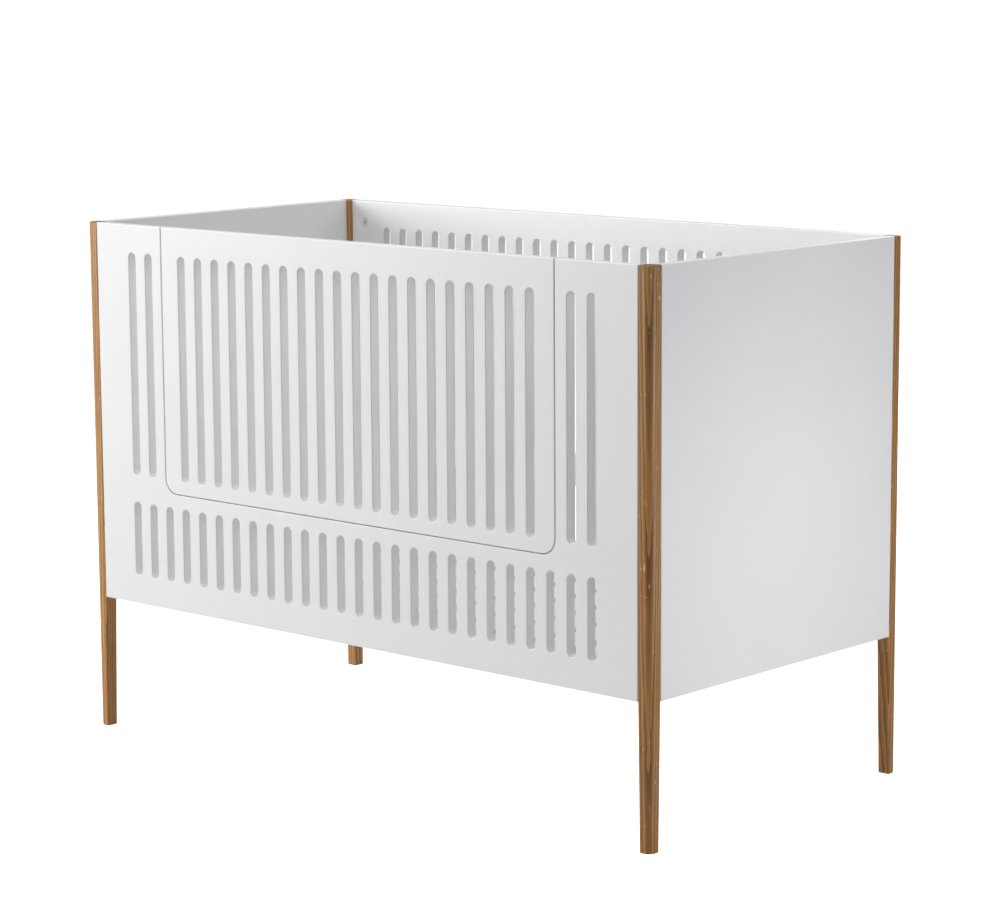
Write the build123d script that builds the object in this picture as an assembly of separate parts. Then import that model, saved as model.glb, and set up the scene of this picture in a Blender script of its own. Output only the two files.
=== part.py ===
from build123d import *

import os

# A baby crib for a 1200 x 600 mattress. Four oak posts stand at the corners and run on as legs.
# White panels fill the four sides between them. The middle of the front side is a gate that lifts
# out, and a slatted mattress base rests on brackets inside.
# Millimetres. X runs along the crib, the front is at -Y, Z is up and the feet stand on Z = 0.
# The origin is the centre of the crib on the floor.

# Overall
LENGTH = 1256.0
DEPTH = 644.0
HEIGHT = 891.0

# Posts
POST = 25.0
POST_CORNER = 12.0
POST_ARRIS = 2.5
POST_END_EASING = 1.2
FOOT = 21.5

# Panels
PANEL_THICKNESS = 18.0
PANEL_HEIGHT = 658.0
PANEL_ARRIS = 1.5
PANEL_BOTTOM = HEIGHT - PANEL_HEIGHT
LONG_PANEL = LENGTH - 2 * POST
END_PANEL = DEPTH - 2 * POST
INNER_X = LENGTH / 2 - PANEL_THICKNESS
INNER_Y = DEPTH / 2 - PANEL_THICKNESS

# Slots, measured from the bottom edge of a panel
SLOT_COLUMNS = 26
SLOT_PITCH = 41.1
SLOT_WIDTH = 17.0
LOW_SLOT = (50.0, 179.0)
TALL_SLOT = (226.5, 610.5)
FIXED_TALL_COLUMNS = 2
GATE_FIRST_COLUMN = 3

# Gate and the cut-out that it stands in
GATE_WIDTH = 878.0
GATE_SIDE_GAP = 2.0
GATE_BOTTOM_GAP = 1.5
GATE_BOTTOM = 203.5
GATE_CORNER = 26.0

# Splines beside the gate, glued into the front panel
SPLINE_THICKNESS = 5.0
SPLINE_IN_FRAME = 9.0
SPLINE_IN_GATE = 7.0
SPLINE_BOTTOM = 250.0
SPLINE_TOP = 590.0
GROOVE_CLEARANCE = 0.5

# Cam locks and their bolts
CAM_RADIUS = 7.5
CAM_DEPTH = 12.5
CAM_CHAMFER = 0.5
CAM_CHANNEL = 8.2
CAM_CHANNEL_PAST_CENTRE = 3.5
CAM_KEY_RADIUS = 2.8
CAM_KEY_DEPTH = 2.5
CAM_FROM_EDGE = 34.0
CAM_HEIGHTS = (40.0, 329.0, 618.0)
GATE_CAM_X = (-8 * SLOT_PITCH, 0.0, 8 * SLOT_PITCH)
BOLT_RADIUS = 3.0
BOLT_THREAD = 11.0
BOLT_NECK_RADIUS = 2.2
BOLT_HEAD_RADIUS = 3.4
BOLT_HEAD_HALF = 2.0
BOLT_NECK_LENGTH = 4.5
BOLT_SHOULDER = 1.0
BOLT_BORE_RADIUS = 4.0

# Dowels
DOWEL_RADIUS = 4.0
DOWEL_IN_PANEL = 22.0
DOWEL_IN_POST = 13.0
DOWEL_CHAMFER = 0.8
LONG_DOWEL_HEIGHTS = (110.0, 548.0)
END_DOWEL_HEIGHTS = (75.0, 220.0, 440.0, 585.0)

# Radial and end clearance of every fastener in its hole
HOLE_CLEARANCE = 0.1
HOLE_END_CLEARANCE = 1.0

# Mattress base, at the lowest of its three heights
BASE_LENGTH = 1200.0
BASE_WIDTH = 590.0
BASE_TOP = PANEL_BOTTOM + 50.0
SLAT_COUNT = 14
SLAT_WIDTH = 64.0
SLAT_THICKNESS = 10.0
SLAT_ARRIS = 1.5
RAIL_HEIGHT = 32.0
RAIL_THICKNESS = 20.0
RAIL_ARRIS = 1.5
RAIL_TOP = BASE_TOP - SLAT_THICKNESS
BASE_BOTTOM = RAIL_TOP - RAIL_HEIGHT
BASE_STEP = 125.0
BASE_LEVELS = 3

# Wood screws of the mattress base: shank radius, length, head radius and head height
SLAT_SCREW = (2.0, 25.0, 4.0, 2.4)
RAIL_SCREW = (2.5, 55.0, 5.0, 3.0)
RAIL_SCREW_RISE = 9.0
SCREW_SINK = 0.3
SCREW_TIP_SHARE = 0.3
SCREW_TIP_TAPER = 2.0
SCREW_KEY_RADIUS = 1.5
SCREW_KEY_DEPTH = 1.2

# Support brackets, with their screws and the threaded inserts in the end panels
BRACKET_WIDTH = 60.0
BRACKET_RISE = 42.0
BRACKET_REACH = 34.0
BRACKET_STEEL = 2.5
BRACKET_BEND = 4.0
BRACKET_CORNER = 6.0
BRACKET_Y = 205.0
BRACKET_HOLE_SPACING = 36.0
BRACKET_HOLE_RISE = 24.0
BRACKET_HOLE_RADIUS = 3.3
INSERT_RADIUS = 4.8
INSERT_LENGTH = 13.0
INSERT_SCREW_RADIUS = 3.0
INSERT_SCREW_LENGTH = 14.0
INSERT_SCREW_HEAD_RADIUS = 6.5
INSERT_SCREW_HEAD_HEIGHT = 2.6
INSERT_KEY_RADIUS = 2.3
INSERT_KEY_DEPTH = 1.6

SIDES = (-1, 1)
SIDE_NAME = {-1: "left", 1: "right"}
DEPTH_NAME = {-1: "front", 1: "back"}


def rod(start, direction, radius, length):
    """A round bar from a point along a direction. It is also the cutter for a round hole."""
    return Solid.make_cylinder(radius, length, Plane(origin=start, z_dir=direction))


def hole(start, direction, radius, length):
    """The cutter for a blind hole that takes a fastener of this radius and length."""
    return rod(start, direction, radius + HOLE_CLEARANCE, length + HOLE_END_CLEARANCE)


def turned(profile, start, direction):
    """A turned piece: (radius, distance) points along a direction, closed back to the axis."""
    points = [(0.0, profile[0][1]), *profile, (0.0, profile[-1][1])]
    face = make_face(Polyline(*[(r, 0.0, z) for r, z in points], close=True))
    return Plane(origin=start, z_dir=direction) * revolve(face, Axis.Z)


def cut(solid, cutters):
    """The solid with every cutter taken from it, as one plain solid."""
    return solid.cut(*cutters).solid()


def key_socket(head_point, direction, radius, depth):
    """The cutter for a hexagonal key socket."""
    plane = Plane(origin=head_point, z_dir=direction)
    return extrude(plane * RegularPolygon(radius, 6), depth).solid()


# ---------------------------------------------------------------- posts


def post_section(side):
    """A square with its outer corner at the origin, well rounded, and its other arrises eased."""
    square = Rectangle(side, side, align=(Align.MIN, Align.MIN))
    by_distance = square.vertices().sort_by_distance((0, 0, 0))
    section = fillet(by_distance[1:], POST_ARRIS)
    outer = section.vertices().sort_by_distance((0, 0, 0))[0]
    return fillet(outer, POST_CORNER)


def plain_post():
    """A post with its outer corner on the Z axis. Only its two inner faces taper below the panels."""
    shaft = extrude(Pos(0, 0, PANEL_BOTTOM) * post_section(POST), PANEL_HEIGHT)
    leg = loft([post_section(FOOT), Pos(0, 0, PANEL_BOTTOM) * post_section(POST)], ruled=True)
    post = shaft + leg
    foot_edges = post.faces().sort_by(Axis.Z)[0].edges()
    top_edges = post.faces().sort_by(Axis.Z)[-1].edges()
    return chamfer(foot_edges + top_edges, POST_END_EASING)


def post(side_x, side_y):
    """One corner post in place, bored for the bolts and dowels of the two panels that meet it."""
    solid = plain_post()
    if side_x > 0:
        solid = mirror(solid, Plane.YZ)
    if side_y > 0:
        solid = mirror(solid, Plane.XZ)
    solid = Pos(side_x * LENGTH / 2, side_y * DEPTH / 2, 0) * solid
    cutters = []
    for height in CAM_HEIGHTS:
        start = long_panel_end(side_x, side_y, height)
        cutters.append(hole(start, (side_x, 0, 0), BOLT_RADIUS, BOLT_THREAD))
    for height in LONG_DOWEL_HEIGHTS:
        start = long_panel_end(side_x, side_y, height)
        cutters.append(hole(start, (side_x, 0, 0), DOWEL_RADIUS, DOWEL_IN_POST))
    for height in END_DOWEL_HEIGHTS:
        start = end_panel_edge(side_x, side_y, height)
        cutters.append(hole(start, (0, side_y, 0), DOWEL_RADIUS, DOWEL_IN_POST))
    return cut(solid.solid(), cutters)


def long_panel_end(side_x, side_y, height):
    """The point in mid-thickness where a front or back panel's end meets its post."""
    y = side_y * (DEPTH - PANEL_THICKNESS) / 2
    return (side_x * LONG_PANEL / 2, y, PANEL_BOTTOM + height)


def end_panel_edge(side_x, side_y, height):
    """The point in mid-thickness where an end panel's edge meets its post."""
    x = side_x * (LENGTH - PANEL_THICKNESS) / 2
    return (x, side_y * END_PANEL / 2, PANEL_BOTTOM + height)


# ---------------------------------------------------------------- slotted panels


def column_x(column):
    """The centre of a slot column, counted from 0 at the left."""
    return (column - (SLOT_COLUMNS - 1) / 2) * SLOT_PITCH


def slots(columns, span):
    """Upright round-ended slots over a span of heights above the panel's bottom edge."""
    low, high = span
    middle = (low + high) / 2
    slot = Rot(0, 0, 90) * SlotOverall(high - low, SLOT_WIDTH)
    return [Pos(column_x(c), middle) * slot for c in columns]


def eased_slab(outline, plane):
    """An outline extruded to the panel thickness, with the arrises of both its faces rounded."""
    slab = extrude(plane * outline, PANEL_THICKNESS)
    faces = slab.faces().filter_by(Axis((0, 0, 0), tuple(plane.z_dir)))
    flat = faces.sort_by(SortBy.AREA)[-2:]
    edges = [edge for face in flat for edge in face.edges()]
    return fillet(edges, PANEL_ARRIS).solid()


def long_panel_plane(side_y):
    """The sketch plane of a front or back panel: X along the crib, Y up from its bottom edge."""
    towards_back = DEPTH / 2 if side_y > 0 else -INNER_Y
    return Plane(origin=(0, towards_back, PANEL_BOTTOM), x_dir=(1, 0, 0), z_dir=(0, -1, 0))


def long_panel_bores(side_y):
    """Cutters for the cams, bolts and dowels at both ends of a front or back panel."""
    cutters = []
    for side in SIDES:
        for height in CAM_HEIGHTS:
            end = long_panel_end(side, side_y, height)
            cutters.append(rod(end, (-side, 0, 0), BOLT_BORE_RADIUS, CAM_FROM_EDGE))
            face = long_cam_face(side, side_y, height)
            cutters.append(hole(face, (0, side_y, 0), CAM_RADIUS, CAM_DEPTH))
        for height in LONG_DOWEL_HEIGHTS:
            end = long_panel_end(side, side_y, height)
            cutters.append(hole(end, (-side, 0, 0), DOWEL_RADIUS, DOWEL_IN_PANEL))
    return cutters


def long_cam_face(side_x, side_y, height):
    """The centre of a cam's visible face, flush with the panel's inner face."""
    x = side_x * (LONG_PANEL / 2 - CAM_FROM_EDGE)
    return (x, side_y * INNER_Y, PANEL_BOTTOM + height)


def back_panel():
    """The back panel, with both rows of slots along its whole length."""
    outline = Rectangle(LONG_PANEL, PANEL_HEIGHT, align=(Align.CENTER, Align.MIN))
    every = range(SLOT_COLUMNS)
    outline -= slots(every, LOW_SLOT) + slots(every, TALL_SLOT)
    return cut(eased_slab(outline, long_panel_plane(1)), long_panel_bores(1))


def rounded_bottom(half_width, bottom, corner):
    """An opening or panel outline, square at the panel's top edge and rounded at its lower corners."""
    box = Rectangle(2 * half_width, PANEL_HEIGHT - bottom, align=(Align.CENTER, Align.MIN))
    box = Pos(0, bottom) * box
    return fillet(box.vertices().group_by(Axis.Y)[0], corner)


def front_frame():
    """The fixed front panel: a low slotted band with an upright stile at each end of the gate."""
    half_opening = GATE_WIDTH / 2 + GATE_SIDE_GAP
    opening_bottom = GATE_BOTTOM - GATE_BOTTOM_GAP
    outline = Rectangle(LONG_PANEL, PANEL_HEIGHT, align=(Align.CENTER, Align.MIN))
    outline -= rounded_bottom(half_opening, opening_bottom, GATE_CORNER + GATE_BOTTOM_GAP)
    left = range(FIXED_TALL_COLUMNS)
    right = range(SLOT_COLUMNS - FIXED_TALL_COLUMNS, SLOT_COLUMNS)
    outline -= slots(range(SLOT_COLUMNS), LOW_SLOT)
    outline -= slots(left, TALL_SLOT) + slots(right, TALL_SLOT)
    cutters = long_panel_bores(-1)
    for side in SIDES:
        cutters.append(spline_block(side, 0.0, HOLE_CLEARANCE))
    for x in GATE_CAM_X:
        cutters.append(hole(gate_bolt_point(x), (0, 0, -1), BOLT_RADIUS, BOLT_THREAD))
    return cut(eased_slab(outline, long_panel_plane(-1)), cutters)


# ---------------------------------------------------------------- gate


def gate_panel():
    """The gate: a slotted panel with grooved side edges and cam bores along its bottom edge."""
    outline = rounded_bottom(GATE_WIDTH / 2, GATE_BOTTOM, GATE_CORNER)
    columns = range(GATE_FIRST_COLUMN, SLOT_COLUMNS - GATE_FIRST_COLUMN)
    outline -= slots(columns, TALL_SLOT)
    cutters = [gate_groove(side) for side in SIDES]
    for x in GATE_CAM_X:
        cutters.append(rod(gate_bolt_point(x), (0, 0, 1), BOLT_BORE_RADIUS, CAM_FROM_EDGE))
        cutters.append(hole(gate_cam_face(x), (0, -1, 0), CAM_RADIUS, CAM_DEPTH))
    return cut(eased_slab(outline, long_panel_plane(-1)), cutters)


def gate_bolt_point(x):
    """The point on the edge below the gate where one of its holding bolts comes out."""
    z = PANEL_BOTTOM + GATE_BOTTOM - GATE_BOTTOM_GAP
    return (x, -(DEPTH - PANEL_THICKNESS) / 2, z)


def gate_cam_face(x):
    """The centre of a gate cam's visible face, flush with the gate's inner face."""
    return (x, -INNER_Y, gate_bolt_point(x)[2] + CAM_FROM_EDGE)


def spline_block(side, in_gate, clearance):
    """The spline beside the gate, or with no depth in the gate, the cutter for its slot in the frame."""
    inner = GATE_WIDTH / 2 - in_gate
    outer = GATE_WIDTH / 2 + GATE_SIDE_GAP + SPLINE_IN_FRAME + clearance
    height = SPLINE_TOP - SPLINE_BOTTOM + 2 * clearance
    block = Box(outer - inner, SPLINE_THICKNESS + 2 * clearance, height)
    y = -(DEPTH - PANEL_THICKNESS) / 2
    z = PANEL_BOTTOM + (SPLINE_TOP + SPLINE_BOTTOM) / 2
    return (Pos(side * (inner + outer) / 2, y, z) * block).solid()


def gate_groove(side):
    """The groove in a side edge of the gate. It runs out at the bottom, so the gate can lift off."""
    depth = SPLINE_IN_GATE + GROOVE_CLEARANCE
    width = SPLINE_THICKNESS + 2 * GROOVE_CLEARANCE
    top = PANEL_BOTTOM + SPLINE_TOP + HOLE_END_CLEARANCE
    bottom = PANEL_BOTTOM + GATE_BOTTOM - HOLE_END_CLEARANCE
    block = Box(depth + HOLE_END_CLEARANCE, width, top - bottom)
    x = GATE_WIDTH / 2 - (depth - HOLE_END_CLEARANCE) / 2
    y = -(DEPTH - PANEL_THICKNESS) / 2
    return (Pos(side * x, y, (top + bottom) / 2) * block).solid()


def gate_spline(side):
    """A hardwood spline, glued into the front panel, that guides a side edge of the gate."""
    return spline_block(side, SPLINE_IN_GATE, 0.0)


# ---------------------------------------------------------------- end panels


def end_panel(side):
    """A plain end panel, with dowel holes in its edges and three levels of threaded inserts."""
    start_x = INNER_X if side > 0 else -LENGTH / 2
    plane = Plane(origin=(start_x, 0, PANEL_BOTTOM), x_dir=(0, 1, 0), z_dir=(1, 0, 0))
    outline = Rectangle(END_PANEL, PANEL_HEIGHT, align=(Align.CENTER, Align.MIN))
    cutters = []
    for side_y in SIDES:
        for height in END_DOWEL_HEIGHTS:
            start = end_panel_edge(side, side_y, height)
            cutters.append(hole(start, (0, -side_y, 0), DOWEL_RADIUS, DOWEL_IN_PANEL))
    for mouth in insert_mouths(side):
        cutters.append(hole(mouth, (side, 0, 0), INSERT_RADIUS, INSERT_LENGTH))
    return cut(eased_slab(outline, plane), cutters)


def bracket_hole_points(side, side_y, level):
    """Where the two screws of a support bracket enter the end panel at one of its levels."""
    z = BASE_BOTTOM - BRACKET_STEEL + BRACKET_HOLE_RISE + level * BASE_STEP
    middle = side_y * BRACKET_Y
    return [(side * INNER_X, middle + s * BRACKET_HOLE_SPACING / 2, z) for s in SIDES]


def insert_mouths(side):
    """The mouths of every threaded insert in one end panel."""
    mouths = []
    for level in range(BASE_LEVELS):
        for side_y in SIDES:
            mouths += bracket_hole_points(side, side_y, level)
    return mouths


def threaded_insert(mouth, side):
    """A threaded sleeve, flush with the inner face of the end panel."""
    sleeve = rod(mouth, (side, 0, 0), INSERT_RADIUS, INSERT_LENGTH)
    bore = rod(mouth, (side, 0, 0), INSERT_SCREW_RADIUS + HOLE_CLEARANCE, INSERT_LENGTH)
    return cut(sleeve, [bore])


# ---------------------------------------------------------------- cam locks, bolts and dowels


def cam_lock(face_point, inward, towards_bolt):
    """A cam: a drum flush with the panel's inner face, with a key socket and a channel for the bolt."""
    face_point = Vector(*face_point)
    inward = Vector(*inward)
    towards_bolt = Vector(*towards_bolt)
    rim = CAM_RADIUS - CAM_CHAMFER
    drum = turned([(rim, 0.0), (CAM_RADIUS, CAM_CHAMFER), (CAM_RADIUS, CAM_DEPTH)], face_point, inward)
    length = CAM_RADIUS + CAM_CHANNEL_PAST_CENTRE
    centre = face_point + inward * (PANEL_THICKNESS / 2) - towards_bolt * CAM_CHANNEL_PAST_CENTRE
    channel = Box(CAM_CHANNEL, CAM_CHANNEL, 2 * length, align=(Align.CENTER, Align.CENTER, Align.MIN))
    channel = Plane(origin=centre, x_dir=inward, z_dir=towards_bolt) * channel
    key = key_socket(face_point, inward, CAM_KEY_RADIUS, CAM_KEY_DEPTH)
    return cut(drum.solid(), [channel.solid(), key])


def cam_bolt(edge_point, inward):
    """A bolt: its thread is in one piece, and its waisted head reaches the cam in the other."""
    head_start = CAM_FROM_EDGE - BOLT_HEAD_HALF
    neck_start = head_start - BOLT_NECK_LENGTH
    profile = [
        (BOLT_RADIUS, -BOLT_THREAD),
        (BOLT_RADIUS, neck_start),
        (BOLT_NECK_RADIUS, neck_start + BOLT_SHOULDER),
        (BOLT_NECK_RADIUS, head_start),
        (BOLT_HEAD_RADIUS, head_start + BOLT_SHOULDER),
        (BOLT_HEAD_RADIUS, CAM_FROM_EDGE + BOLT_HEAD_HALF),
    ]
    return turned(profile, edge_point, inward).solid()


def dowel(joint_point, into_panel):
    """A beech dowel across a butt joint, chamfered at both ends."""
    tip = DOWEL_RADIUS - DOWEL_CHAMFER
    profile = [
        (tip, -DOWEL_IN_POST),
        (DOWEL_RADIUS, -DOWEL_IN_POST + DOWEL_CHAMFER),
        (DOWEL_RADIUS, DOWEL_IN_PANEL - DOWEL_CHAMFER),
        (tip, DOWEL_IN_PANEL),
    ]
    return turned(profile, joint_point, into_panel).solid()


def long_panel_cams(side_y):
    """The cam locks at both ends of a front or back panel."""
    return [
        cam_lock(long_cam_face(side, side_y, height), (0, side_y, 0), (side, 0, 0))
        for side in SIDES
        for height in CAM_HEIGHTS
    ]


def long_panel_bolts(side_y):
    """The bolts that stand in the posts and reach those cams."""
    return [
        cam_bolt(long_panel_end(side, side_y, height), (-side, 0, 0))
        for side in SIDES
        for height in CAM_HEIGHTS
    ]


def long_panel_dowels(side_y):
    """The locating dowels at both ends of a front or back panel."""
    return [
        dowel(long_panel_end(side, side_y, height), (-side, 0, 0))
        for side in SIDES
        for height in LONG_DOWEL_HEIGHTS
    ]


def end_panel_dowels(side):
    """The glued dowels along both edges of an end panel."""
    return [
        dowel(end_panel_edge(side, side_y, height), (0, -side_y, 0))
        for side_y in SIDES
        for height in END_DOWEL_HEIGHTS
    ]


# ---------------------------------------------------------------- mattress base


def eased_bar(size_x, size_y, size_z, arris):
    """A planed bar, standing on its bottom face, with all its arrises rounded."""
    bar = Box(size_x, size_y, size_z, align=(Align.CENTER, Align.CENTER, Align.MIN))
    return fillet(bar.edges(), arris)


def screw(head_point, direction, size):
    """A countersunk wood screw, its head a little below the surface."""
    radius, length, head_radius, head_height = size
    profile = [
        (head_radius, 0.0),
        (radius, head_height),
        (radius, length - SCREW_TIP_TAPER * radius),
        (SCREW_TIP_SHARE * radius, length),
    ]
    body = turned(profile, head_point, direction).solid()
    return cut(body, [key_socket(head_point, direction, SCREW_KEY_RADIUS, SCREW_KEY_DEPTH)])


def screw_hole(head_point, direction, size):
    """The countersunk hole for such a screw, open above its head."""
    radius, length, head_radius, head_height = size
    c = HOLE_CLEARANCE
    profile = [
        (head_radius + c, -2 * SCREW_SINK),
        (head_radius + c, c),
        (radius + c, head_height + c),
        (radius + c, length + HOLE_END_CLEARANCE),
    ]
    return turned(profile, head_point, direction).solid()


def slat_x(index):
    """The centre of a slat, spaced evenly between the ends of the base."""
    first = -(BASE_LENGTH - SLAT_WIDTH) / 2
    return first + index * (BASE_LENGTH - SLAT_WIDTH) / (SLAT_COUNT - 1)


def slat_screw(make, index, side_y):
    """The screw, or its hole, that holds one end of a slat to a rail."""
    head = (slat_x(index), side_y * (BASE_WIDTH - RAIL_THICKNESS) / 2, BASE_TOP - SCREW_SINK)
    return make(head, (0, 0, -1), SLAT_SCREW)


def rail_screw(make, side_x, side_y):
    """The screw, or its hole, that joins an end rail to a side rail. It passes under the slat screws."""
    y = side_y * (BASE_WIDTH - RAIL_THICKNESS) / 2
    head = (side_x * (BASE_LENGTH / 2 - SCREW_SINK), y, BASE_BOTTOM + RAIL_SCREW_RISE)
    return make(head, (-side_x, 0, 0), RAIL_SCREW)


def slat(index):
    """One slat, which lies across both side rails."""
    bar = Pos(slat_x(index), 0, RAIL_TOP) * eased_bar(SLAT_WIDTH, BASE_WIDTH, SLAT_THICKNESS, SLAT_ARRIS)
    return cut(bar.solid(), [slat_screw(screw_hole, index, s) for s in SIDES])


def side_rail(side_y):
    """A side rail between the end rails."""
    length = BASE_LENGTH - 2 * RAIL_THICKNESS
    y = side_y * (BASE_WIDTH - RAIL_THICKNESS) / 2
    bar = Pos(0, y, BASE_BOTTOM) * eased_bar(length, RAIL_THICKNESS, RAIL_HEIGHT, RAIL_ARRIS)
    cutters = [slat_screw(screw_hole, i, side_y) for i in range(SLAT_COUNT)]
    cutters += [rail_screw(screw_hole, s, side_y) for s in SIDES]
    return cut(bar.solid(), cutters)


def end_rail(side_x):
    """An end rail, as long as the base is wide."""
    x = side_x * (BASE_LENGTH - RAIL_THICKNESS) / 2
    bar = Pos(x, 0, BASE_BOTTOM) * eased_bar(RAIL_THICKNESS, BASE_WIDTH, RAIL_HEIGHT, RAIL_ARRIS)
    return cut(bar.solid(), [rail_screw(screw_hole, side_x, s) for s in SIDES])


# ---------------------------------------------------------------- support brackets


def bracket(side_x, side_y):
    """A bent steel angle: its upright leg is on the end panel, the other is under the end rail."""
    steel = BRACKET_STEEL
    rise = BRACKET_RISE
    reach = BRACKET_REACH
    foot = [(0, 0), (reach, 0), (reach, steel)]
    upright = [(steel, steel), (steel, rise), (0, rise)]
    outline = Polygon(*foot, *upright, align=None)
    bend = outline.vertices().sort_by_distance((0, 0, 0))
    outline = fillet(bend[0], BRACKET_BEND)
    inside = outline.vertices().sort_by_distance((steel, steel, 0))[0]
    outline = fillet(inside, BRACKET_BEND - steel)
    plane = Plane(
        origin=(side_x * INNER_X, side_y * BRACKET_Y, BASE_BOTTOM - steel),
        x_dir=(-side_x, 0, 0),
        z_dir=(0, side_x, 0),
    )
    angle = plane * extrude(outline, BRACKET_WIDTH / 2, both=True)
    top_corners = angle.edges().filter_by(Axis.X).group_by(Axis.Z)[-1]
    tip = (side_x * (INNER_X - reach), side_y * BRACKET_Y, BASE_BOTTOM)
    tip_corners = angle.edges().filter_by(Axis.Z).sort_by_distance(tip)[:2]
    angle = fillet([*top_corners, *tip_corners], BRACKET_CORNER)
    cutters = []
    for point in bracket_hole_points(side_x, side_y, 0):
        start = Vector(*point) - Vector(side_x, 0, 0) * 2 * steel
        cutters.append(rod(start, (side_x, 0, 0), BRACKET_HOLE_RADIUS, 3 * steel))
    return cut(angle.solid(), cutters)


def bracket_screw(point, side):
    """A low-headed machine screw through a bracket into its insert."""
    outside = Vector(*point) - Vector(side, 0, 0) * BRACKET_STEEL
    profile = [
        (INSERT_SCREW_HEAD_RADIUS, -INSERT_SCREW_HEAD_HEIGHT),
        (INSERT_SCREW_HEAD_RADIUS, 0.0),
        (INSERT_SCREW_RADIUS, 0.0),
        (INSERT_SCREW_RADIUS, INSERT_SCREW_LENGTH),
    ]
    body = turned(profile, outside, (side, 0, 0)).solid()
    top = outside - Vector(side, 0, 0) * INSERT_SCREW_HEAD_HEIGHT
    return cut(body, [key_socket(top, (side, 0, 0), INSERT_KEY_RADIUS, INSERT_KEY_DEPTH)])


# ---------------------------------------------------------------- every node


def corner_name(side_x, side_y):
    """The name of a corner, such as front_left."""
    return DEPTH_NAME[side_y] + "_" + SIDE_NAME[side_x]


def all_nodes():
    """Every node by name: one solid, or a list of identical fasteners."""
    nodes = {}
    for side_y in SIDES:
        for side_x in SIDES:
            nodes["post_" + corner_name(side_x, side_y)] = post(side_x, side_y)
            nodes["base_bracket_" + corner_name(side_x, side_y)] = bracket(side_x, side_y)
    nodes["front_frame"] = front_frame()
    nodes["gate_panel"] = gate_panel()
    nodes["back_panel"] = back_panel()
    for side_x in SIDES:
        name = SIDE_NAME[side_x]
        mouths = insert_mouths(side_x)
        nodes["end_panel_" + name] = end_panel(side_x)
        nodes["end_dowels_" + name] = end_panel_dowels(side_x)
        nodes["gate_spline_" + name] = gate_spline(side_x)
        nodes["threaded_inserts_" + name] = [threaded_insert(mouth, side_x) for mouth in mouths]
        nodes["base_end_rail_" + name] = end_rail(side_x)
    for side_y in SIDES:
        name = DEPTH_NAME[side_y]
        nodes[name + "_cam_locks"] = long_panel_cams(side_y)
        nodes[name + "_cam_bolts"] = long_panel_bolts(side_y)
        nodes[name + "_dowels"] = long_panel_dowels(side_y)
        nodes["base_side_rail_" + name] = side_rail(side_y)
    nodes["gate_cam_locks"] = [cam_lock(gate_cam_face(x), (0, -1, 0), (0, 0, -1)) for x in GATE_CAM_X]
    nodes["gate_cam_bolts"] = [cam_bolt(gate_bolt_point(x), (0, 0, 1)) for x in GATE_CAM_X]
    for index in range(SLAT_COUNT):
        nodes[f"base_slat_{index + 1:02d}"] = slat(index)
    nodes["slat_screws"] = [slat_screw(screw, i, s) for i in range(SLAT_COUNT) for s in SIDES]
    nodes["base_frame_screws"] = [rail_screw(screw, x, y) for x in SIDES for y in SIDES]
    nodes["bracket_screws"] = [
        bracket_screw(point, side_x)
        for side_x in SIDES
        for side_y in SIDES
        for point in bracket_hole_points(side_x, side_y, 0)
    ]
    return nodes


os.makedirs("parts", exist_ok=True)
for node, shape in all_nodes().items():
    if isinstance(shape, list):
        shape = Compound(children=shape)
    export_step(shape, f"parts/{node}.step")
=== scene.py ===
import math

import bpy
from mathutils import Matrix, Vector

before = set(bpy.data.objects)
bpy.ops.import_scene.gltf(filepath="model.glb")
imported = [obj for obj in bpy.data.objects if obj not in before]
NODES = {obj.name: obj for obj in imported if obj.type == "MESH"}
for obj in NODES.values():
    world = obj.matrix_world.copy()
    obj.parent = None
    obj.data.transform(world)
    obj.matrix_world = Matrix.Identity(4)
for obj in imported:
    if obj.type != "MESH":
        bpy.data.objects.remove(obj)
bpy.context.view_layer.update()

# The looks of the baby crib: materials, camera, floor and studio light. Metres, in the CAD frame.
# Every shape is a CAD node. Grain, lacquer and plating are procedural, in object space,
# so each keeps its real scale and moves with its body.

# The camera: its place, its turn about Z, how far it looks down, its slight roll, and its lens
EYE = Vector((3.5041, -3.8513, 1.3391))
EYE_TURN = math.radians(41.98)
EYE_DROP = math.radians(9.087)
EYE_ROLL = math.radians(-0.344)
LENS_MM = 112.36
SENSOR_MM = 36.0
FAR_CLIP = 400.0

# The floor's size, the grey that it lights the crib with, and the glow that the camera sees it by
FLOOR_SIZE = 300.0
FLOOR_GREY = 0.80
FLOOR_GLOW = 0.98

# The surroundings as the camera sees them, and as they light the crib
BACKDROP_WHITE = 1.0
AMBIENT_GREY = 0.06

MM = 0.001


# ---------------------------------------------------------------- node helpers


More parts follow.
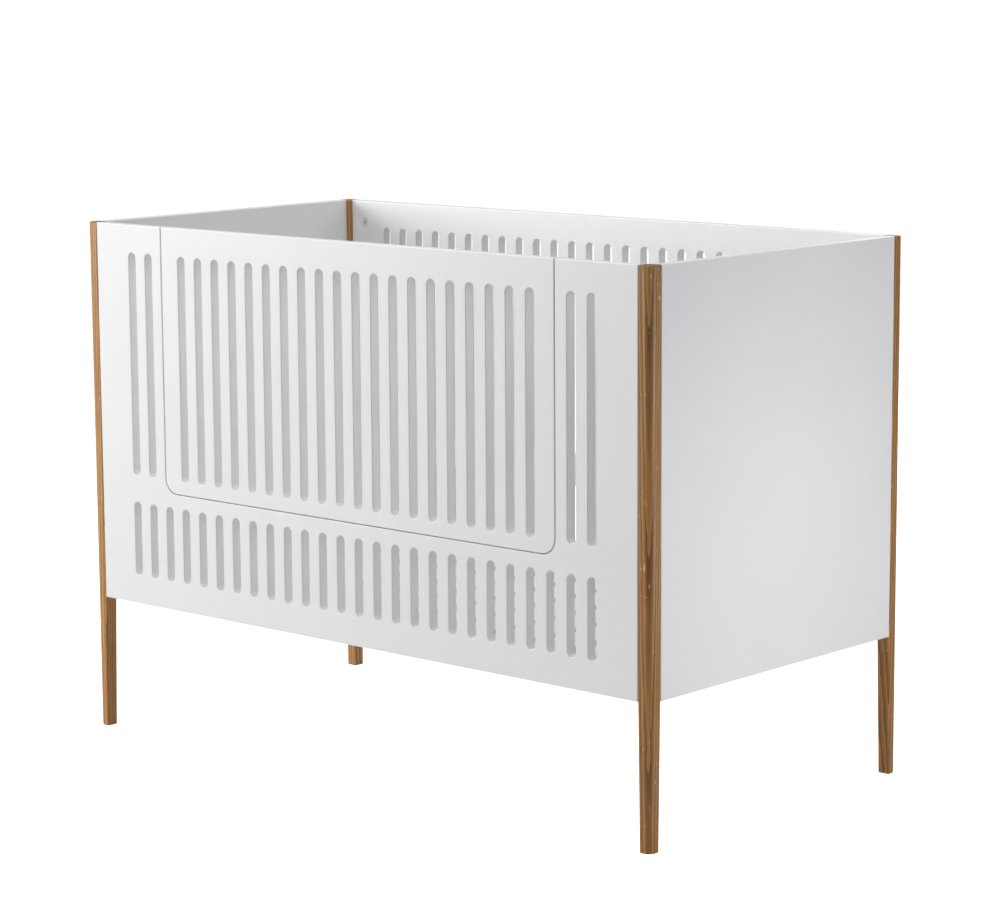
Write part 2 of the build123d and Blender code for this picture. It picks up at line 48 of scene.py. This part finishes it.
class Surface:
    """A material's node tree with one Principled shader, and short calls that add nodes to it."""

    def __init__(self, name):
        self.material = bpy.data.materials.new(name)
        self.material.use_nodes = True
        self.tree = self.material.node_tree
        self.shader = self.tree.nodes["Principled BSDF"]
        self.coords = self.tree.nodes.new("ShaderNodeTexCoord").outputs["Object"]

    def node(self, kind, inputs, **settings):
        """Adds a node, sets its properties, and fills its sockets with numbers or links."""
        made = self.tree.nodes.new(kind)
        for key, value in settings.items():
            setattr(made, key, value)
        for key, value in inputs.items():
            self.put(made.inputs[key], value)
        return made

    def put(self, socket, value):
        """Fills a socket with a number, a colour or another node's output."""
        if isinstance(value, bpy.types.NodeSocket):
            self.tree.links.new(value, socket)
        else:
            socket.default_value = value

    def set(self, **inputs):
        """Fills sockets of the Principled shader. Underscores in a name stand for spaces."""
        for key, value in inputs.items():
            self.put(self.shader.inputs[key.replace("_", " ")], value)

    def moved(self, offset, turn=(0.0, 0.0, 0.0), scale=(1.0, 1.0, 1.0), vector=None):
        """Coordinates shifted, turned and scaled."""
        source = vector or self.coords
        values = {"Vector": source, "Location": offset, "Rotation": turn, "Scale": scale}
        return self.node("ShaderNodeMapping", values).outputs[0]

    def noise(self, scale, detail=2.0, vector=None, rough=0.5):
        """Fractal noise from 0 to 1. Scale is in features per metre."""
        values = {"Vector": vector or self.coords, "Scale": scale, "Detail": detail, "Roughness": rough}
        return self.node("ShaderNodeTexNoise", values).outputs["Fac"]

    def math(self, operation, *values):
        """One arithmetic node on numbers or links."""
        inputs = dict(enumerate(values))
        return self.node("ShaderNodeMath", inputs, operation=operation).outputs[0]

    def between(self, value, low, high, to_low=0.0, to_high=1.0):
        """A value taken linearly from one range to another, and held at its ends."""
        inputs = {"Value": value, "From Min": low, "From Max": high, "To Min": to_low, "To Max": to_high}
        return self.node("ShaderNodeMapRange", inputs).outputs[0]

    def mix(self, factor, first, second, blend="MIX"):
        """A colour between two colours."""
        made = self.node("ShaderNodeMix", {}, data_type="RGBA", blend_type=blend)
        self.put(made.inputs[0], factor)
        self.put(made.inputs[6], first)
        self.put(made.inputs[7], second)
        return made.outputs[2]

    def ramp(self, value, stops):
        """A colour ramp through (position, colour) stops."""
        made = self.node("ShaderNodeValToRGB", {"Fac": value})
        elements = made.color_ramp.elements
        while len(elements) < len(stops):
            elements.new(1.0)
        for element, (position, colour) in zip(elements, stops):
            element.position = position
            element.color = colour
        return made.outputs[0]

    def bump(self, height, depth):
        """Height from 0 to 1 as a bump of that depth in metres."""
        return self.node("ShaderNodeBump", {"Height": height, "Distance": depth}).outputs[0]

    def facing(self, axis):
        """How squarely the surface faces along X, Y or Z, from 0 to 1."""
        normal = self.node("ShaderNodeNewGeometry", {}).outputs["Normal"]
        split = self.node("ShaderNodeSeparateXYZ", {"Vector": normal})
        return self.math("ABSOLUTE", split.outputs[axis])


def grey(value):
    """An opaque grey."""
    return (value, value, value, 1.0)


def darker(colour, share):
    """An opaque colour times a share."""
    return tuple(share * channel for channel in colour[:3]) + (1.0,)


def stretched(axis):
    """The scale that draws a pattern out along one axis, as grain is."""
    return tuple(0.03 if axis == name else 1.0 for name in "XYZ")


# ---------------------------------------------------------------- materials


def lacquer(name, face_axis, seed):
    """Satin white lacquer on fibreboard. The routed edges are a little greyer and less smooth."""
    s = Surface(name)
    place = s.moved((seed, 2.3 * seed, -seed))
    cloud = s.noise(4.0, 3.0, place)
    tone = s.mix(s.between(cloud, 0.3, 0.7), (0.845, 0.848, 0.853, 1.0), (0.868, 0.868, 0.868, 1.0))
    routed = s.between(s.facing(face_axis), 0.2, 0.75, 1.0, 0.0)
    roller = s.noise(55.0, 2.0, place)
    peel = s.noise(620.0, 1.0, place)
    fibre = s.noise(1900.0, 2.0, place)
    smooth = s.between(roller, 0.3, 0.7, 0.36, 0.46)
    s.set(
        Base_Color=s.mix(s.math("MULTIPLY", routed, 0.35), tone, (0.80, 0.80, 0.80, 1.0)),
        Roughness=s.math("ADD", smooth, s.math("MULTIPLY", routed, 0.12)),
        IOR=1.48,
        Coat_Weight=0.25,
        Coat_Roughness=0.30,
    )
    flat_height = s.math("ADD", s.math("MULTIPLY", peel, 0.35), s.math("MULTIPLY", roller, 0.65))
    edge_height = s.math("MULTIPLY", fibre, s.math("MULTIPLY", routed, 0.8))
    s.set(Normal=s.bump(s.math("ADD", flat_height, edge_height), 0.035 * MM))
    return s.material


def oak(name, seed, pith, lean, dark, mid, light):
    """Oiled oak. Its rings lie round a pith outside the post, a little out of line with it, so they
    run down as streaks and cathedral points. Pores are dark dashes and the ray flecks are pale."""
    s = Surface(name)
    turned = s.moved(pith, turn=lean)
    warp = s.noise(1.0, 3.0, s.moved((seed, 0.0, 0.0), scale=(9.0, 9.0, 1.6)))
    drift = s.math("MULTIPLY", s.math("SUBTRACT", warp, 0.5), 0.016)
    split = s.node("ShaderNodeSeparateXYZ", {"Vector": turned})
    inputs = {
        "X": s.math("ADD", split.outputs["X"], drift),
        "Y": s.math("ADD", split.outputs["Y"], drift),
        "Z": split.outputs["Z"],
    }
    joined = s.node("ShaderNodeCombineXYZ", inputs).outputs[0]
    rings = s.node(
        "ShaderNodeTexWave",
        {"Vector": joined, "Scale": 62.0, "Distortion": 1.2, "Detail": 2.0, "Detail Scale": 0.5},
        wave_type="RINGS",
        rings_direction="Z",
        wave_profile="SAW",
    ).outputs["Fac"]
    along = s.moved((seed, 0.0, 0.0), scale=(1.0, 1.0, 0.022), vector=joined)
    streak = s.noise(330.0, 4.0, along, 0.62)
    fibre = s.noise(1500.0, 3.0, along, 0.6)
    figure = s.math("ADD", s.math("MULTIPLY", rings, 0.42), s.math("MULTIPLY", streak, 0.58))
    tone = s.ramp(s.between(figure, 0.24, 0.74), [(0.0, dark), (0.5, mid), (1.0, light)])
    broad = s.noise(30.0, 2.0, s.moved((seed, seed, 0.0), scale=(1.0, 1.0, 0.12)))
    red = s.mix(1.0, tone, (1.0, 0.80, 0.62, 1.0), "MULTIPLY")
    tone = s.mix(s.between(broad, 0.40, 0.62, 0.0, 0.8), tone, red)
    pores = s.between(fibre, 0.58, 0.68)
    pored = s.math("MULTIPLY", pores, s.between(rings, 0.2, 0.8, 1.0, 0.4))
    tone = s.mix(s.math("MULTIPLY", pored, 0.60), tone, darker(dark, 0.42))
    ray = s.noise(250.0, 1.0, s.moved((seed, 0.0, seed), scale=(1.0, 1.0, 0.30)))
    flecks = s.between(ray, 0.725, 0.755)
    tone = s.mix(s.math("MULTIPLY", flecks, 0.60), tone, (0.82, 0.58, 0.30, 1.0))
    end = s.between(s.facing("Z"), 0.6, 0.9)
    tone = s.mix(s.math("MULTIPLY", end, 0.45), tone, darker(dark, 0.7))
    height = s.math("SUBTRACT", s.math("MULTIPLY", streak, 0.5), s.math("MULTIPLY", pored, 0.6))
    s.set(
        Base_Color=tone,
        Roughness=s.between(streak, 0.3, 0.7, 0.34, 0.46),
        IOR=1.47,
        Normal=s.bump(height, 0.10 * MM),
    )
    return s.material


def beech(name, grain_axis):
    """Bare planed beech with its grain along one axis."""
    s = Surface(name)
    dark = (0.52, 0.34, 0.20, 1.0)
    light = (0.70, 0.50, 0.32, 1.0)
    along = s.moved((0.31, 0.17, 0.05), scale=stretched(grain_axis))
    streak = s.noise(300.0, 4.0, along, 0.6)
    broad = s.noise(120.0, 3.0, along, 0.55)
    figure = s.math("ADD", s.math("MULTIPLY", streak, 0.45), s.math("MULTIPLY", broad, 0.55))
    tone = s.mix(s.between(figure, 0.33, 0.66), dark, light)
    fibre = s.noise(1500.0, 2.0, along)
    s.set(
        Base_Color=s.mix(s.between(fibre, 0.60, 0.75, 0.0, 0.30), tone, darker(dark, 0.6)),
        Roughness=s.between(streak, 0.3, 0.7, 0.50, 0.62),
        IOR=1.45,
        Normal=s.bump(s.math("ADD", streak, fibre), 0.06 * MM),
    )
    return s.material


def painted_wood(name, grain_axis, seed):
    """White paint rolled thinly over planed wood, so that the grain still shows as faint ridges."""
    s = Surface(name)
    along = s.moved((seed, 0.4 * seed, -seed), scale=stretched(grain_axis))
    grain = s.noise(330.0, 4.0, along, 0.6)
    cloud = s.noise(9.0, 3.0, s.moved((seed, seed, 0.0)))
    peel = s.noise(540.0, 2.0, s.moved((seed, 0.0, seed)))
    tone = s.mix(s.between(cloud, 0.3, 0.7), (0.80, 0.80, 0.79, 1.0), (0.845, 0.845, 0.84, 1.0))
    height = s.math("ADD", s.math("MULTIPLY", grain, 0.75), s.math("MULTIPLY", peel, 0.25))
    s.set(
        Base_Color=s.mix(s.between(grain, 0.56, 0.74, 0.0, 0.5), tone, (0.72, 0.71, 0.685, 1.0)),
        Roughness=s.between(grain, 0.3, 0.7, 0.44, 0.56),
        IOR=1.48,
        Normal=s.bump(height, 0.07 * MM),
    )
    return s.material


def metal(name, colour, rough, scale, depth):
    """Cast or plated metal, a little mottled, with fine pitting."""
    s = Surface(name)
    mottle = s.noise(scale, 3.0)
    fine = s.noise(12.0 * scale, 2.0)
    s.set(
        Base_Color=s.mix(s.between(mottle, 0.35, 0.65), darker(colour, 0.80), colour),
        Metallic=1.0,
        Roughness=s.between(fine, 0.3, 0.7, rough - 0.06, rough + 0.08),
        Normal=s.bump(fine, depth),
    )
    return s.material


def powder_coat(name, colour):
    """White powder coat on steel, with its fine orange peel."""
    s = Surface(name)
    peel = s.noise(900.0, 2.0)
    cloud = s.noise(30.0, 2.0)
    s.set(
        Base_Color=s.mix(s.between(cloud, 0.3, 0.7), darker(colour, 0.94), colour),
        Roughness=s.between(peel, 0.3, 0.7, 0.38, 0.50),
        Normal=s.bump(peel, 0.08 * MM),
    )
    return s.material


# ---------------------------------------------------------------- assignment


def give(material, *names):
    """Puts a material on CAD nodes, in place of the plain one they came with."""
    for name in names:
        mesh = NODES[name].data
        mesh.materials.clear()
        mesh.materials.append(material)


def names_with(*parts):
    """The CAD nodes whose names hold any of these words."""
    return [name for name in sorted(NODES) if any(part in name for part in parts)]


OAK_GOLDEN = ((0.285, 0.130, 0.036, 1.0), (0.460, 0.232, 0.074, 1.0), (0.620, 0.358, 0.138, 1.0))
OAK_BROWN = ((0.180, 0.086, 0.024, 1.0), (0.345, 0.176, 0.052, 1.0), (0.530, 0.298, 0.102, 1.0))


def dress_posts():
    """Each post is its own piece of oak, with its own pith and slope of grain."""
    boards = {
        "post_front_left": (1.31, (0.59, 0.36, 0.4), (0.020, -0.034, 0.0), OAK_GOLDEN),
        "post_front_right": (2.17, (-0.66, 0.37, 0.1), (0.012, 0.010, 0.0), OAK_BROWN),
        "post_back_left": (3.49, (0.66, -0.28, 0.2), (-0.014, 0.022, 0.0), OAK_GOLDEN),
        "post_back_right": (4.83, (-0.59, -0.35, 0.3), (0.026, 0.012, 0.0), OAK_BROWN),
    }
    for name, (seed, pith, lean, tones) in boards.items():
        give(oak("oak_" + name, seed, pith, lean, *tones), name)


def dress_panels():
    """The five white boards, each with its own run of lacquer."""
    give(lacquer("lacquer_front_frame", "Y", 0.4), "front_frame")
    give(lacquer("lacquer_gate", "Y", 1.7), "gate_panel")
    give(lacquer("lacquer_back", "Y", 2.9), "back_panel")
    give(lacquer("lacquer_end_left", "X", 4.3), "end_panel_left")
    give(lacquer("lacquer_end_right", "X", 5.6), "end_panel_right")


def dress_base():
    """The mattress base: ply slats on softwood rails, all painted white over their grain."""
    give(painted_wood("painted_slats", "Y", 0.6), *names_with("base_slat"))
    give(painted_wood("painted_side_rails", "X", 2.2), *names_with("base_side_rail"))
    give(painted_wood("painted_end_rails", "Y", 3.7), *names_with("base_end_rail"))


def dress_fittings():
    """Cams, bolts, screws, inserts, brackets, dowels and splines."""
    zinc = metal("die_cast_zinc", (0.88, 0.88, 0.87, 1.0), 0.58, 160.0, 0.05 * MM)
    give(zinc, *names_with("cam_locks"))
    plated = metal("zinc_plate", (0.66, 0.67, 0.69, 1.0), 0.30, 220.0, 0.02 * MM)
    give(plated, *names_with("cam_bolts", "screws"))
    brass = metal("insert_brass", (0.72, 0.56, 0.29, 1.0), 0.32, 200.0, 0.02 * MM)
    give(brass, *names_with("inserts"))
    give(powder_coat("bracket_coat", grey(0.80)), *names_with("bracket_front", "bracket_back"))
    give(beech("beech_across", "X"), "front_dowels", "back_dowels")
    give(beech("beech_endwise", "Y"), "end_dowels_left", "end_dowels_right")
    give(beech("beech_upright", "Z"), "gate_spline_left", "gate_spline_right")


# ---------------------------------------------------------------- studio


def place_camera():
    """The camera: a long lens at the front right, a little above the crib's top edge."""
    data = bpy.data.cameras.new("camera")
    data.lens = LENS_MM
    data.sensor_width = SENSOR_MM
    data.clip_end = FAR_CLIP
    camera = bpy.data.objects.new("camera", data)
    turn = Matrix.Rotation(EYE_TURN, 4, "Z") @ Matrix.Rotation(math.pi / 2 - EYE_DROP, 4, "X")
    camera.matrix_world = Matrix.Translation(EYE) @ turn @ Matrix.Rotation(EYE_ROLL, 4, "Z")
    bpy.context.scene.collection.objects.link(camera)
    bpy.context.scene.camera = camera


def soft_box(name, place, target, width, height, watts, colour=(1.0, 1.0, 1.0)):
    """A rectangular soft light aimed at a point. It isn't itself seen by the camera."""
    data = bpy.data.lights.new(name, "AREA")
    data.shape = "RECTANGLE"
    data.size = width
    data.size_y = height
    data.energy = watts
    data.color = colour
    light = bpy.data.objects.new(name, data)
    light.location = place
    light.rotation_mode = "QUATERNION"
    light.rotation_quaternion = (Vector(target) - Vector(place)).to_track_quat("-Z", "Y")
    light.visible_camera = False
    bpy.context.scene.collection.objects.link(light)


def floor():
    """A plain white floor that runs out of sight. It lights the crib from below as a matt surface,
    and the camera also sees it glow, so that it stays white to its far edge."""
    bpy.ops.mesh.primitive_plane_add(size=FLOOR_SIZE, location=(0.0, 0.0, 0.0))
    plane = bpy.context.object
    plane.name = "floor"
    material = bpy.data.materials.new("floor_white")
    material.use_nodes = True
    tree = material.node_tree
    tree.nodes.clear()
    output = tree.nodes.new("ShaderNodeOutputMaterial")
    matt = tree.nodes.new("ShaderNodeBsdfDiffuse")
    matt.inputs["Color"].default_value = grey(FLOOR_GREY)
    glow = tree.nodes.new("ShaderNodeEmission")
    glow.inputs["Color"].default_value = grey(1.0)
    glow.inputs["Strength"].default_value = FLOOR_GLOW
    seen = tree.nodes.new("ShaderNodeLightPath")
    both = tree.nodes.new("ShaderNodeAddShader")
    choice = tree.nodes.new("ShaderNodeMixShader")
    tree.links.new(matt.outputs[0], both.inputs[0])
    tree.links.new(glow.outputs[0], both.inputs[1])
    tree.links.new(seen.outputs["Is Camera Ray"], choice.inputs[0])
    tree.links.new(matt.outputs[0], choice.inputs[1])
    tree.links.new(both.outputs[0], choice.inputs[2])
    tree.links.new(choice.outputs[0], output.inputs[0])
    plane.data.materials.append(material)


def studio():
    """Soft lights at the front left, at the right, above and behind. Little comes from the
    camera's side, so the arrises between the front and the right end are the darkest."""
    cool = (0.98, 0.97, 1.0)
    world = bpy.data.worlds.new("studio")
    bpy.context.scene.world = world
    world.use_nodes = True
    tree = world.node_tree
    background = tree.nodes["Background"]
    seen = tree.nodes.new("ShaderNodeLightPath")
    shade = tree.nodes.new("ShaderNodeMix")
    shade.data_type = "RGBA"
    shade.inputs[6].default_value = grey(AMBIENT_GREY)
    shade.inputs[7].default_value = grey(BACKDROP_WHITE)
    tree.links.new(seen.outputs["Is Camera Ray"], shade.inputs[0])
    tree.links.new(shade.outputs[2], background.inputs["Color"])
    soft_box("key_left", (-4.2, -3.6, 2.1), (-0.2, -0.2, 0.6), 2.6, 2.4, 224.0)
    soft_box("side_low", (1.5, 0.0, 0.52), (0.63, 0.0, 0.52), 0.45, 0.45, 4.0, cool)
    soft_box("side_high", (2.4, 2.4, 2.4), (0.62, 0.0, 0.5), 1.4, 1.4, 25.0, cool)
    soft_box("overhead", (0.0, 0.2, 3.2), (0.0, 0.0, 0.6), 2.6, 1.8, 42.0)
    soft_box("overhead_front", (-0.2, -1.8, 3.2), (0.0, 0.0, 0.6), 2.6, 1.4, 24.0)
    soft_box("back_fill", (-1.2, 4.4, 1.6), (0.0, 0.3, 0.6), 2.0, 2.0, 36.0)


dress_posts()
dress_panels()
dress_base()
dress_fittings()
place_camera()
floor()
studio()
bpy.context.scene.view_settings.view_transform = "Standard"
